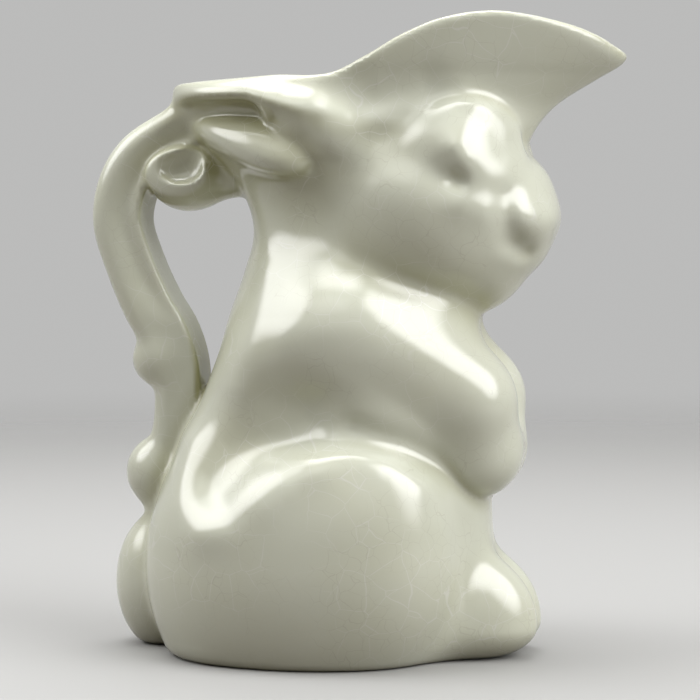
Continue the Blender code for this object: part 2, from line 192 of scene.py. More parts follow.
# Along the ledge: x, how far its slope sinks into the wall, and the height of its lower edge
EAR_EDGE = np.array([
    (-64, 9, 162),
    (-55, 6, 162),
    (-47, 2, 162),
    (-38, 0, 161.8),
    (-25, 0.2, 161.2),
    (-16, 3, 159),
    (-8, 7, 158.5),
    (0, 11, 158),
    (28, 20, 158),
])
# The ridge's middle line: x, z, radius, and how far it lies outside the jug's wall
EAR_RIDGE = [
    (-17, 160, 5.5, 0.5),
    (-10, 157, 7.5, -1),
    (-2, 151.5, 8, -2.2),
    (6, 145, 7, -4),
]
EAR_RIDGE_JOIN = 3.0
EAR_RIDGE_FILLET = 8.0
# The lobe: its middle in x and z, how far it lies outside the jug's wall, its radii along, through and
# across, how it widens towards the front and within what shares, and its slope and lean
EAR_LOBE_AT = (-26.5, 149.8)
EAR_LOBE_OUT = -1.6
EAR_LOBE_RADII = (19.5, 5.0, 9.0)
EAR_LOBE_TAPER = 0.35
EAR_LOBE_LEAST_AND_MOST = (0.5, 1.5)
EAR_LOBE_PITCH = math.radians(16)
EAR_LOBE_LEAN = math.radians(52)
EAR_LOBE_FILLET = 5.0
# The ear's fillet against the body, low and high, and the heights between which it changes
EAR_LOW_FILLET = 9.0
EAR_HIGH_FILLET = 4.5
EAR_FILLET_HEIGHTS = (152, 159)

# Forelegs
SHOULDER_AT = (0, 92)
SHOULDER_RADIUS = 18
SHOULDER_SINK = 13.5
WRIST_HEIGHT = 74.5
TOES_HEIGHT = 61
PAW_RADIUS = 14
PAW_SINK = 3.7
WRIST_SPREAD = 12.5
TOES_SPREAD = 6.5
FORELEG_FILLET = 6.0
# The fillet between the two paws, low and high, and the heights between which it changes
PAWS_LOW_FILLET = 7.5
PAWS_HIGH_FILLET = 1.5
PAWS_FILLET_HEIGHTS = (64, 74)
# The x and z of the way up, square to the arm, and the arm's fillet against the body: wide from these
# distances over and behind the shoulder, narrow under it
ARM_UP = (0.57, 0.82)
ARM_WIDE_FILLET = 21.5
ARM_NARROW_FILLET = 3.5
ARM_OVER = (-4, 16)
ARM_BEHIND = (-6, 14)

# Hind feet and tail
FOOT_CENTRE = (31, 6, 9)
FOOT_RADII = (24.5, 14.5, 23)
FOOT_SOLE = 11
FOOT_FILLET = 9.0
FEET_FILLET = 5.0
TAIL_HEIGHT = 19
TAIL_RADII = (14.5, 14.5, 21.5)
TAIL_SINK = 0.5
TAIL_FILLET = 5.0

# The strap's middle line: how far it stands behind the jug's back, its height, and half its thickness
HANDLE = np.array([
    (-6, 159.5, 6.6),
    (8, 153.5, 7.2),
    (23.5, 146.4, 7.8),
    (35.0, 138, 7.9),
    (41.0, 127, 7.8),
    (35.3, 114, 7.8),
    (25.8, 102, 8.0),
    (18.7, 94, 8.0),
    (13.5, 86.5, 7.8),
    (9.3, 79, 7.4),
    (6.4, 71, 7.0),
    (4.3, 64, 6.8),
    (2.6, 55, 6.6),
    (0.6, 46.5, 6.4),
    (-2, 40, 6.0),
    (-7, 33, 5.0),
])
# The handle's fillet against the body, low and high, and the heights between which it changes
HANDLE_LOW_FILLET = 4.0
HANDLE_HIGH_FILLET = 8.0
HANDLE_FILLET_HEIGHTS = (148, 158)
# The strap's section, and the steps between two of its points
HANDLE_WIDTH_TO_THICKNESS = 1.18
HANDLE_INNER_ROUND = 1.8
HANDLE_OUTER_ROUND = 5.5
HANDLE_STEPS = 8
# The knobs: centre and radii
KNOBS = [((-58.0, 0, 86), (9.4, 9.8, 8.8)), ((-60, 0, 52), (9.4, 10.0, 10.5))]
KNOB_FILLET = 5.0
# The volute: a drum on a web, a boss with its place, radii and reach to the side, and a dish in the
# boss with a mouth towards the strap
VOLUTE_DRUM = ((-50, 0, 141), (12.5, 13, 10.6))
VOLUTE_WEB = [(-50, 0, 139), (-32, 0, 141.5)]
VOLUTE_WEB_RADIUS = 6.6
VOLUTE_WEB_FILLET = 4.0
VOLUTE_BOSS = ((-51.5, 141.2), (9.8, 7.3), 11.5)
VOLUTE_BOSS_EDGE = 4.0
VOLUTE_BOSS_FILLET = 2.5
VOLUTE_DISH = ((-49.8, 13.0, 142.8), (7.4, 4.0, 4.8))
VOLUTE_DISH_EDGE = 1.5
VOLUTE_MOUTH = [(-48, 13.5, 144), (-43, 13.5, 151)]
VOLUTE_MOUTH_RADIUS = 5.0
VOLUTE_MOUTH_FILLET = 3.0
VOLUTE_FILLET = 3.0
# The shallow channel along the strap's sides, and the heights between which it sets in
CHANNEL_PLACE = -3.0
CHANNEL_RADIUS = 3.2
CHANNEL_DEPTH = 1.6
CHANNEL_HEIGHTS = (96, 110)

# The boxes that hold the luted pieces, low and high corner, on the left side
HANDLE_BOX = ((-95, -1, 20), (-20, 30, 185))
TAIL_BOX = ((-90, -1, -10), (-30, 30, 55))
EAR_BOX = ((-75, -1, 125), (28, 60, 185))
FORELEG_BOX = ((-60, -1, 10), (80, 80, 150))
FOOT_BOX = ((5, -1, -15), (75, 50, 50))

# Glaze, with lengths in metres and noise scales per metre
GLAZE = (0.695, 0.715, 0.60)
GLAZE_IOR = 1.7
GLAZE_ROUGHNESS = (0.08, 0.14)
SHEEN_SCALE = 60.0
SHEEN_SPAN = (0.3, 0.7)
# Glaze in recesses turns darker and greener: partly real pooled glaze, partly painted shade in folds and
# broad hollows; then the span of the recess measure over which it sets in
GLAZE_POOLED_AND_SHADED = (0.44, 0.435, 0.26)
POOLED_AND_SHADED_SPAN = (0.1, 0.7)
GLAZE_CLOUD = (0.65, 0.655, 0.49)
CLOUD_SCALE = 28.0
CLOUD_DETAIL = 3.0
CLOUD_SPAN = (0.4, 0.75)
CLOUD_SHARE = 0.35
GLAZE_RIPPLE = 0.00008
RIPPLE_SCALE = 110.0
# How far from the skin a recess is looked for, in millimetres: the wider reaches paint shade into broad
# hollows as well as pooled glaze into folds
POOL_AND_SHADE_REACHES = (2.0, 5.0, 9.0, 16.0)
# Crazing: colours, and for each the cells' scale, the cracks' width and their strength
CRAZE_PALE = (0.83, 0.83, 0.79)
CRAZE_PALE_LINES = (125.0, 0.00015, 0.5)
CRAZE_DARK = (0.42, 0.40, 0.31)
CRAZE_DARK_LINES = (210.0, 0.0001, 0.28)
# How far the cracks wander, and the scales of that and of the crazed patches as shares of the cells'
CRAZE_DRIFT = 0.005
CRAZE_DRIFT_SCALE = 0.6
CRAZE_PATCH_SCALE = 0.25
CRAZE_PATCH_SPAN = (0.42, 0.6)

# Stage, in metres
FLOOR_COLOUR = (0.44, 0.44, 0.435)
FLOOR_ROUGHNESS = 0.6
FLOOR_BOUNCE = (0.14, 0.125, 0.1)
BACKDROP = (0.5, 0.5, 0.495)
AMBIENT = (0.11, 0.10, 0.083)
FADE_FROM = 0.3
FADE_TO = 1.3
# A lamp's face runs from 0 to 1 both ways: its middle, and how far from there its fade starts and ends
SOFTBOX_MIDDLE = (0.5, 0.5, 0)
SOFTBOX_CORE = 0.2
SOFTBOX_EDGE = 0.5
LAMP_TARGET = (0.0, 0.0, 0.09)
# Each lamp's place, width and height, and power in watts
LAMPS = {
    "right": ((0.9, -0.3, 0.75), (1.3, 1.7), 36.0),
    "overhead": ((-0.1, 0.15, 1.1), (1.4, 1.2), 27.0),
    "left": ((-0.9, -0.2, 0.78), (1.25, 1.1), 18.5),
    "front": ((-0.35, -1.0, 1.35), (1.6, 1.2), 5.0),
}
CAMERA_AT = (0.1111, -0.6303, 0.1187)
CAMERA_TARGET = (-0.001, -0.0002, 0.089)
CAMERA_CLIP = 0.01
# In millimetres
CAMERA_SENSOR = 36
CAMERA_LENS = 110.93


# Fields: each takes a point as three arrays x, y, z, with y taken to the left side, and gives distances


def hermite(xs, ys, x):
    """A smooth curve through the points (xs, ys), read at x, and straight on past its ends."""
    rise, run = np.gradient(ys), np.gradient(xs)
    rise[1:-1], run[1:-1] = ys[2:] - ys[:-2], xs[2:] - xs[:-2]
    slopes = rise / run
    i = np.clip(np.searchsorted(xs, x, side="right") - 1, 0, len(xs) - 2)
    span = xs[i + 1] - xs[i]
    t = np.clip((x - xs[i]) / span, 0, 1)
    step = ys[i + 1] - ys[i]
    start, end = slopes[i] * span, slopes[i + 1] * span
    curve = ys[i] + t * start + t**2 * (3 * step - 2 * start - end) + t**3 * (start + end - 2 * step)
    return curve + slopes[0] * np.minimum(x - xs[0], 0) + slopes[-1] * np.maximum(x - xs[-1], 0)


LEVELS = np.arange(*TABLE_HEIGHTS, TABLE_STEP)
PROFILE = [
    hermite(JUG[:, 0], column, np.maximum(LEVELS, JUG[0, 0]))
    for column in JUG.T[1:]
]
RIM_X = np.arange(*TABLE_LENGTHS, TABLE_STEP)
RIM_Z = hermite(RIM[:, 0], RIM[:, 1], RIM_X)
RIM_Z[RIM_X < RIM[0, 0]] = RIM[0, 1]


def jug_at(height):
    """Back, widest place, front, half width and point of the jug at this height."""
    return [np.interp(height, LEVELS, column) for column in PROFILE]


def jug_side(x, height):
    """Half the jug's width at this place along it."""
    back, widest, front, half_width, point = jug_at(height)
    reach = front - widest if x >= widest else widest - back
    return half_width * max(1 - ((x - widest) / reach) ** 2, 0) ** (point if x >= widest else 0.5)


def smooth(value, low, high):
    """0 under low, 1 over high, and a smooth step between them."""
    t = np.clip((value - low) / (high - low), 0, 1)
    return t * t * (3 - 2 * t)


def blend(value, span, start, end):
    """The start under the span, the end over it, and a smooth step between them."""
    return start + (end - start) * smooth(value, *span)


def union(a, b, fillet):
    """Two forms joined, with a fillet about that wide where they meet."""
    h = np.maximum(fillet - np.abs(a - b), 0) / fillet
    return np.minimum(a, b) - h * h * h * fillet / 6


def cut(a, b, fillet):
    """b taken out of a, with the edge rounded."""
    return -union(-a, b, fillet)


def meet(a, b, fillet):
    """What lies in both forms, with the edge rounded."""
    return -union(-a, -b, fillet)


def ellipsoid(p, form):
    centre, radii = form
    u = [(c - m) / r for c, m, r in zip(p, centre, radii)]
    k = np.sqrt(sum(c * c for c in u) + 1e-8)
    slope = np.sqrt(sum((c / r) ** 2 for c, r in zip(u, radii)) + 1e-12)
    return k * (k - 1) / slope


def cone(p, a, b, radius_a, radius_b):
    """A round limb from ball a to ball b."""
    a, b = np.asarray(a, float), np.asarray(b, float)
    line = b - a
    rel = [c - m for c, m in zip(p, a)]
    t = np.clip(sum(c * d for c, d in zip(rel, line)) / (line @ line), 0, 1)
    gap = np.sqrt(sum((c - t * d) ** 2 for c, d in zip(rel, line)))
    return gap - radius_a - t * (radius_b - radius_a)


def tube(p, points, radius):
    """A round bar along a line of points."""
    d = cone(p, points[0], points[1], radius, radius)
    for a, b in zip(points[1:], points[2:]):
        d = np.minimum(d, cone(p, a, b, radius, radius))
    return d


def within(p, box, field):
    """The field where p lies in the box, and a far distance elsewhere."""
    inside = np.ones(p[0].shape, bool)
    for c, low, high in zip(p, *box):
        inside &= (c > low) & (c < high)
    d = np.full(p[0].shape, FAR, p[0].dtype)
    if inside.any():
        d[inside] = field([c[inside] for c in p])
    return d


def jug_square(x, y, z):
    """1 on the jug's skin, under 1 inside it, growing as the square of the distance from its axis.

    With it come its slopes along x and y.
    """
    back, widest, front, half_width, point = jug_at(z)
    ahead = x > widest
    reach = np.where(ahead, front - widest, widest - back)
    t = (x - widest) / reach
    power = blend(t, PROW_SPAN, 2, 1 / point)
    soft = np.sqrt(y * y + PROW_ROUND**2)
    s = np.maximum(soft - PROW_ROUND, 1e-3) / half_width
    slope_y = power * s ** (power - 1) * y / (soft * half_width)
    return t * t + s**power, 2 * t / reach, slope_y


def jug(p):
    x, y, z = p
    h = 0.5
    q, slope_x, slope_y = jug_square(x, y, z)
    slope_z = (jug_square(x, y, z + h)[0] - jug_square(x, y, z - h)[0]) / (2 * h)
    slope = np.sqrt(slope_x**2 + slope_y**2 + slope_z**2) + 1e-4
    k = np.sqrt(q)
    return (k - 1) * 2 * k / slope


def rim(p):
    """Over the rim line this is positive."""
    height = np.interp(p[0], RIM_X, RIM_Z)
    slope = (np.interp(p[0] + 1, RIM_X, RIM_Z) - np.interp(p[0] - 1, RIM_X, RIM_Z)) / 2
    return (p[2] - height) / np.sqrt(1 + slope * slope)


def dome(p, form, power):
    """An ellipsoid that is squarer, for powers over 2."""
    centre, radii = form
    u = [np.abs(c - m) / r + 1e-6 for c, m, r in zip(p, centre, radii)]
    k = sum(c**power for c in u) ** (1 / power)
    slope = np.sqrt(sum(((c / k) ** (power - 1) / r) ** 2 for c, r in zip(u, radii)))
    return (k - 1) / slope


def pressed(p):
    """How far the hollows and swellings move the body's skin inwards."""
    x, y, z = p
    sides = smooth(y, *PRESSED_FADE)
    depth = np.zeros(x.shape)
    for line, radius, deep in PRESSED:
        flat = [(a, 0, b) for a, b in line]
        gap = tube((x, 0, z), flat, 0)
        depth += deep * np.exp(-((gap / radius) ** 2))
    return depth * sides


def head(p):
    x, y, z = p
    d = union(ellipsoid(p, HEAD), ellipsoid(p, CHEEK), CHEEK_FILLET)
    brow = union(ellipsoid(p, BROW), ellipsoid(p, TEMPLE), TEMPLE_FILLET)
    d = union(d, brow, BROW_FILLET)
    d = union(d, dome(p, MUZZLE, MUZZLE_POWER), MUZZLE_FILLET)
    d = union(d, ellipsoid(p, CHIN), CHIN_FILLET)
    ahead, over = x - NOSE_TIP[0] + y * y / FACE_CURVE, z - NOSE_TIP[1]
    bridge = ahead * math.cos(BRIDGE_LEAN) + over * math.sin(BRIDGE_LEAN)
    chin = ahead * math.cos(CHIN_LEAN) - over * math.sin(CHIN_LEAN)
    return meet(meet(d, bridge, NOSE_ROUND), chin, NOSE_ROUND)


def lump(p, skin):
    """The body as if it were solid, up past the rim, from the jug's own field."""
    fillet = blend(p[2], JAW_HEIGHTS, NECK_FILLET, JAW_FILLET)
    fillet += blend(p[2], CROWN_HEIGHTS, 0, CROWN_FILLET - JAW_FILLET)
    d = union(skin, head(p), fillet)
    haunch = union(ellipsoid(p, HAUNCH), dome(p, KNEE, KNEE_POWER), KNEE_FILLET)
    d = union(d, haunch, blend(-p[0], RUMP_REACH, HAUNCH_FILLET, RUMP_FILLET))
    near = np.abs(d) < PRESSED_REACH
    moved = np.zeros(d.shape)
    moved[near] = pressed([c[near] for c in p])
    return d + moved


def hollow(p, skin, solid):
    """The room inside the walls, open at the top."""
    inner = [(centre, tuple(r - WALL for r in radii)) for centre, radii in (HEAD, HAUNCH)]
    d = skin + WALL
    for form in inner:
        d = union(d, ellipsoid(p, form), HOLLOW_FILLET)
    d = meet(d, solid + WALL, HOLLOW_EDGE)
    return meet(d, FLOOR - p[2], HOLLOW_FLOOR_ROUND)


def strap_line():
    """Points of the strap's middle line as rows of x, z and half thickness."""
    knots = np.column_stack([jug_at(HANDLE[:, 1])[0] - HANDLE[:, 0], HANDLE[:, 1], HANDLE[:, 2]])
    gaps = np.hypot(np.diff(knots[:, 0]), np.diff(knots[:, 1]))
    along = np.concatenate([[0], np.cumsum(gaps)])
    steps = np.arange(0, len(knots) - 1 + 1e-6, 1 / HANDLE_STEPS)
    fine = np.interp(steps, np.arange(len(knots)), along)
    return np.column_stack([hermite(along, knots[:, k], fine) for k in range(3)])


STRAP = strap_line()


def strap(p):
    x, y, z = p
    nearest = np.full(x.shape, 1e9)
    out = np.zeros(x.shape)
    half = np.zeros(x.shape)
    for a, b in zip(STRAP, STRAP[1:]):
        line = b - a
        length = math.hypot(line[0], line[1])
        dx, dz = x - a[0], z - a[1]
        t = np.clip((dx * line[0] + dz * line[1]) / length**2, 0, 1)
        gap = np.hypot(dx - t * line[0], dz - t * line[1])
        closer = gap < nearest
        nearest = np.where(closer, gap, nearest)
        out = np.where(closer, dx * line[1] - dz * line[0], out)
        half = np.where(closer, a[2] + t * line[2], half)
    across = nearest * np.sign(out)
    rounding = np.where(across > 0, HANDLE_OUTER_ROUND, HANDLE_INNER_ROUND)
    channel = CHANNEL_DEPTH * np.exp(-(((across - CHANNEL_PLACE) / CHANNEL_RADIUS) ** 2))
    channel *= smooth(z, *CHANNEL_HEIGHTS)
    qy = y - half * HANDLE_WIDTH_TO_THICKNESS + rounding + channel
    qn = nearest - half + rounding
    corner = np.hypot(np.maximum(qy, 0), np.maximum(qn, 0))
    return corner + np.minimum(np.maximum(qy, qn), 0) - rounding


def volute(p):
    x, y, z = p
    (cx, cz), (rx, rz), reach = VOLUTE_BOSS
    web = tube(p, VOLUTE_WEB, VOLUTE_WEB_RADIUS)
    drum = union(ellipsoid(p, VOLUTE_DRUM), web, VOLUTE_WEB_FILLET)
    k = np.hypot((x - cx) / rx, (z - cz) / rz)
    boss = meet((k - 1) * min(rx, rz), y - reach, VOLUTE_BOSS_EDGE)
    mouth = tube(p, VOLUTE_MOUTH, VOLUTE_MOUTH_RADIUS)
    dish = union(ellipsoid(p, VOLUTE_DISH), mouth, VOLUTE_MOUTH_FILLET)
    return cut(union(drum, boss, VOLUTE_BOSS_FILLET), dish, VOLUTE_DISH_EDGE)


def handle(p):
    d = union(strap(p), volute(p), VOLUTE_FILLET)
    for knob in KNOBS:
        d = union(d, ellipsoid(p, knob), KNOB_FILLET)
    return d


def ear_ledge(p):
    """What lies under a slope that runs out and down from the rim, and over the ledge's lower edge."""
    x, z = p[0], p[2]
    sink, under = [hermite(EAR_EDGE[:, 0], column, x) for column in EAR_EDGE.T[1:]]
    slope = (jug(p) - EAR_LEDGE_OUT + sink + z - EAR_LEDGE_TOP) / math.sqrt(2)
    d = meet(slope, under - z, EAR_LEDGE_ROUND)
    return meet(d, rim(p), EAR_LEDGE_RIM_ROUND)


def ear_lobe(p):
    """A leaf bent round the jug's wall, with its lower edge leaning out, and wider towards its front."""
    x, z = p[0] - EAR_LOBE_AT[0], p[2] - EAR_LOBE_AT[1]
    out = jug(p) - EAR_LOBE_OUT
    along = x * math.cos(EAR_LOBE_PITCH) - z * math.sin(EAR_LOBE_PITCH)
    up = x * math.sin(EAR_LOBE_PITCH) + z * math.cos(EAR_LOBE_PITCH)
    face = out * math.cos(EAR_LOBE_LEAN) + up * math.sin(EAR_LOBE_LEAN)
    up = up * math.cos(EAR_LOBE_LEAN) - out * math.sin(EAR_LOBE_LEAN)
    grow = np.clip(1 + EAR_LOBE_TAPER * along / EAR_LOBE_RADII[0], *EAR_LOBE_LEAST_AND_MOST)
    return ellipsoid((along, face / grow, up / grow), ((0, 0, 0), EAR_LOBE_RADII))


def ear_ridge(p):
    """A round bar along the jug's wall."""
    balls = [((x, jug_side(x, z) + out, z), radius) for x, z, radius, out in EAR_RIDGE]
    d = np.full(p[0].shape, FAR)
    for (a, radius_a), (b, radius_b) in zip(balls, balls[1:]):
        d = union(d, cone(p, a, b, radius_a, radius_b), EAR_RIDGE_JOIN)
    return d


def ear(p):
    d = union(ear_ledge(p), ear_ridge(p), EAR_RIDGE_FILLET)
    return union(d, ear_lobe(p), EAR_LOBE_FILLET)


def foreleg_half(p):
    x, height = SHOULDER_AT
    shoulder = (x, jug_side(x, height) - SHOULDER_SINK, height)
    wrist = (jug_at(WRIST_HEIGHT)[2] - PAW_SINK, WRIST_SPREAD, WRIST_HEIGHT)
    toes = (jug_at(TOES_HEIGHT)[2] - PAW_SINK, TOES_SPREAD, TOES_HEIGHT)
    d = cone(p, shoulder, wrist, SHOULDER_RADIUS, PAW_RADIUS)
    d = union(d, cone(p, wrist, toes, PAW_RADIUS, PAW_RADIUS), FORELEG_FILLET)
    return union(d, cone(p, shoulder, toes, SHOULDER_RADIUS, PAW_RADIUS), FORELEG_FILLET)


def foreleg(p):
    """One foreleg, its paw laid against the other."""
    x, y, z = p
    fillet = blend(z, PAWS_FILLET_HEIGHTS, PAWS_LOW_FILLET, PAWS_HIGH_FILLET)
    return union(foreleg_half(p), foreleg_half((x, -y, z)), fillet)


def foot_half(p):
    """A loaf, round on top and flatter towards its sole."""
    x, y, z = p
    rise = z - FOOT_CENTRE[2]
    rise = np.where(rise < 0, rise * FOOT_RADII[2] / FOOT_SOLE, rise)
    return ellipsoid((x, y, FOOT_CENTRE[2] + rise), (FOOT_CENTRE, FOOT_RADII))


def hind_foot(p):
    """One foot, run into the other at the middle."""
    x, y, z = p
    return union(foot_half(p), foot_half((x, -y, z)), FEET_FILLET)


def tail(p):
    centre = (jug_at(TAIL_HEIGHT)[0] + TAIL_SINK, 0, TAIL_HEIGHT)
    return ellipsoid(p, (centre, TAIL_RADII))


def arm_fillet(p):
    """Wide over and behind the arm, where it runs into the body, and narrow under it."""
    x, z = p[0] - SHOULDER_AT[0], p[2] - SHOULDER_AT[1]
    over = x * ARM_UP[0] + z * ARM_UP[1]
    behind = z * ARM_UP[0] - x * ARM_UP[1]
    tight = (1 - smooth(over, *ARM_OVER)) * (1 - smooth(behind, *ARM_BEHIND))
    return ARM_WIDE_FILLET + (ARM_NARROW_FILLET - ARM_WIDE_FILLET) * tight


def clay(p):
    """The fused field at points x, y, z, and the fields of the kinds of piece in the order of KINDS."""
    p = [p[0], np.abs(p[1]), p[2]]
    skin = jug(p)
    solid = lump(p, skin)
    luted = [
        within(p, HANDLE_BOX, handle),
        within(p, TAIL_BOX, tail),
        within(p, EAR_BOX, ear),
        within(p, FORELEG_BOX, foreleg),
        within(p, FOOT_BOX, hind_foot),
    ]
    fillets = [
        blend(p[2], HANDLE_FILLET_HEIGHTS, HANDLE_LOW_FILLET, HANDLE_HIGH_FILLET),
        TAIL_FILLET,
        blend(p[2], EAR_FILLET_HEIGHTS, EAR_LOW_FILLET, EAR_HIGH_FILLET),
        arm_fillet(p),
        FOOT_FILLET,
    ]
    d = meet(solid, rim(p), blend(p[0], SPOUT_TIP_REACH, LIP_ROUND, SPOUT_TIP_ROUND))
    for field, fillet in zip(luted, fillets):
        d = union(d, field, fillet)
    d = cut(d, hollow(p, skin, solid), LIP_ROUND)
    d = meet(d, -p[2], BASE_ROUND)
    return d, [solid, *luted]


KINDS = ["body_shell", "handle", "tail", "ear", "foreleg", "hind_foot"]
PAIRED = ("ear", "foreleg", "hind_foot")
NODES = ["body_shell", "handle", "tail"]
for kind in PAIRED:
    NODES += ["right_" + kind, "left_" + kind]


# Skinning


def sample():
    """The fused field and the node at each point of a grid, 0 outside the clay, and its low corner."""
    reach_x, reach_y, reach_z = (-84.0, 86.0), 51.0, (-3.0, 190.0)
    xs = np.arange(reach_x[0], reach_x[1], GRID)
    ys = np.arange(GRID / 2, reach_y, GRID)
    zs = np.arange(reach_z[0], reach_z[1], GRID)
    shape = (len(xs), len(ys), len(zs))
    half_field = np.empty(shape)
    half_kind = np.zeros(shape, int)
    slab = 12
    for i in range(0, len(xs), slab):
        x, y, z = np.meshgrid(xs[i : i + slab], ys, zs, indexing="ij")
        d, kinds = clay([x.ravel(), y.ravel(), z.ravel()])
        half_field[i : i + slab] = d.reshape(x.shape)
        kind = np.where(kinds[0] < 0, 0, np.argmin(np.array(kinds), axis=0))
        half_kind[i : i + slab] = np.where(d < 0, kind + 1, 0).reshape(x.shape)
    field = np.concatenate([half_field[:, ::-1], half_field], axis=1)
    plain = len(KINDS) - len(PAIRED)
    paired = half_kind > plain
    left = np.where(paired, plain + 2 * (half_kind - plain), half_kind)
    right = np.where(paired, left - 1, half_kind)
    node = np.concatenate([right[:, ::-1], left], axis=1)
    return field, node, np.array([xs[0], -ys[-1], zs[0]])


def net(field, node, low):
    """One point in each grid cell that the skin or a seam crosses, and the faces round each node."""
    cells = tuple(n - 1 for n in node.shape)
    crosses = np.zeros(cells, bool)
    first = node[:-1, :-1, :-1]
    for i in (0, 1):
        for j in (0, 1):
            for k in (0, 1):
                crosses |= node[i : i + cells[0], j : j + cells[1], k : k + cells[2]] != first
    at = np.argwhere(crosses)
    number = np.full(cells, -1)
    number[crosses] = np.arange(len(at))
    sums = {"skin": np.zeros((len(at), 3)), "seam": np.zeros((len(at), 3))}
    counts = {"skin": np.zeros(len(at)), "seam": np.zeros(len(at))}
    for axis in range(3):
        across, up = (axis + 1) % 3, (axis + 2) % 3
        for j in (0, 1):
            for k in (0, 1):
                a = at.copy()
                a[:, across] += j
                a[:, up] += k
                b = a.copy()
                b[:, axis] += 1
                node_a, node_b = node[tuple(a.T)], node[tuple(b.T)]
                field_a, field_b = field[tuple(a.T)], field[tuple(b.T)]
                skin = (node_a == 0) != (node_b == 0)
                seam = (node_a != node_b) & ~skin
                share = np.where(skin, field_a / np.where(skin, field_a - field_b, 1), 0.5)
                point = a.astype(float)
                point[:, axis] += share
                for word, crossed in (("skin", skin), ("seam", seam)):
                    sums[word] += point * crossed[:, None]
                    counts[word] += crossed
    on_skin = counts["skin"] > 0
    inner = sums["seam"] / np.maximum(counts["seam"], 1)[:, None]
    outer = sums["skin"] / np.maximum(counts["skin"], 1)[:, None]
    points = low + GRID * np.where(on_skin[:, None], outer, inner)
    return points, on_skin, node_faces(node, number, on_skin)


def node_faces(node, number, on_skin):
    """The four-sided faces of each node, turned outwards, without those of a seam that lie in the skin."""
    faces = [[] for _ in range(len(NODES) + 1)]
    for axis in range(3):
        across, up = np.roll(np.eye(3, dtype=int), -axis - 1, axis=0)[:2]
        lower = np.delete(node, -1, axis)
        upper = np.delete(node, 0, axis)
        edge = np.argwhere(lower != upper)
        ring = [edge, edge - across, edge - across - up, edge - up]
        quad = np.column_stack([number[tuple(corner.T)] for corner in ring])
        below, above = lower[tuple(edge.T)], upper[tuple(edge.T)]
        kept = (below == 0) | (above == 0) | (on_skin[quad].sum(axis=1) < 3)
        quad, below, above = quad[kept], below[kept], above[kept]
        for label in range(1, len(NODES) + 1):
            faces[label].append(quad[below == label])
            faces[label].append(quad[above == label][:, ::-1])
    return [np.concatenate(found) for found in faces[1:]]


def slope_at(points, h=0.05):
    """The field's slopes along x, y and z."""
    columns = []
    for axis in range(3):
        step = np.zeros(3)
        step[axis] = h
        ahead, behind = clay((points + step).T)[0], clay((points - step).T)[0]
        columns.append((ahead - behind) / (2 * h))
    return np.column_stack(columns)


def settle(points):
    """The points moved onto the field's skin, with the skin's normals there."""
    rounds, least = 2, 0.05
    for _ in range(rounds):
        slope = slope_at(points)
        steep = np.maximum((slope**2).sum(1), least)
        step = np.clip(clay(points.T)[0] / steep, -GRID, GRID)
        points = points - slope * step[:, None]
    slope = slope_at(points)
    return points, slope / np.maximum(np.linalg.norm(slope, axis=1), 1e-6)[:, None]


def pool_and_shade_depth(points, normals):
    """How deep each point lies in a recess, where the glaze pools and where shade is painted in: 0 on open
    faces, 1 in a fold.
    """
    total = np.zeros(len(points))
    for reach in POOL_AND_SHADE_REACHES:
        clear = clay((points + normals * reach).T)[0]
        total += np.clip(1 - clear / reach, 0, 1)
    return total / len(POOL_AND_SHADE_REACHES)


# Material


def noise(nodes, links, place, scale, detail=2.0):
    made = nodes.new("ShaderNodeTexNoise")
    made.inputs["Scale"].default_value = scale
    made.inputs["Detail"].default_value = detail
    links.new(place, made.inputs["Vector"])
    return made


def ranged(nodes, links, value, source, result):
    made = nodes.new("ShaderNodeMapRange")
    made.interpolation_type = "SMOOTHSTEP"
    made.inputs["From Min"].default_value, made.inputs["From Max"].default_value = source
    made.inputs["To Min"].default_value, made.inputs["To Max"].default_value = result
    links.new(value, made.inputs["Value"])
    return made.outputs["Result"]


def tinted(nodes, links, factor, colour, tint):
    """The colour, turned to the tint by the factor."""
    made = nodes.new("ShaderNodeMix")
    made.data_type = "RGBA"
    links.new(factor, made.inputs["Factor"])
    links.new(colour, made.inputs["A"])
    made.inputs["B"].default_value = (*tint, 1)
    return made.outputs["Result"]


def crazing(nodes, links, place, scale, width, strength):
    """Hairline cracks round wandering cells, which come and go over the surface."""
    drift = noise(nodes, links, place, scale * CRAZE_DRIFT_SCALE)
    bent = nodes.new("ShaderNodeVectorMath")
    bent.operation = "MULTIPLY_ADD"
    bent.inputs[1].default_value = (CRAZE_DRIFT,) * 3
    links.new(drift.outputs["Color"], bent.inputs[0])
    links.new(place, bent.inputs[2])
    cells = nodes.new("ShaderNodeTexVoronoi")
    cells.feature = "DISTANCE_TO_EDGE"
    cells.inputs["Scale"].default_value = scale
    links.new(bent.outputs["Vector"], cells.inputs["Vector"])
    line = ranged(nodes, links, cells.outputs["Distance"], (0, width * scale), (1, 0))
    patches = noise(nodes, links, place, scale * CRAZE_PATCH_SCALE)
    there = ranged(nodes, links, patches.outputs["Fac"], CRAZE_PATCH_SPAN, (0, strength))
    both = nodes.new("ShaderNodeMath")
    both.operation = "MULTIPLY"
    links.new(line, both.inputs[0])
    links.new(there, both.inputs[1])
    return both.outputs["Value"]


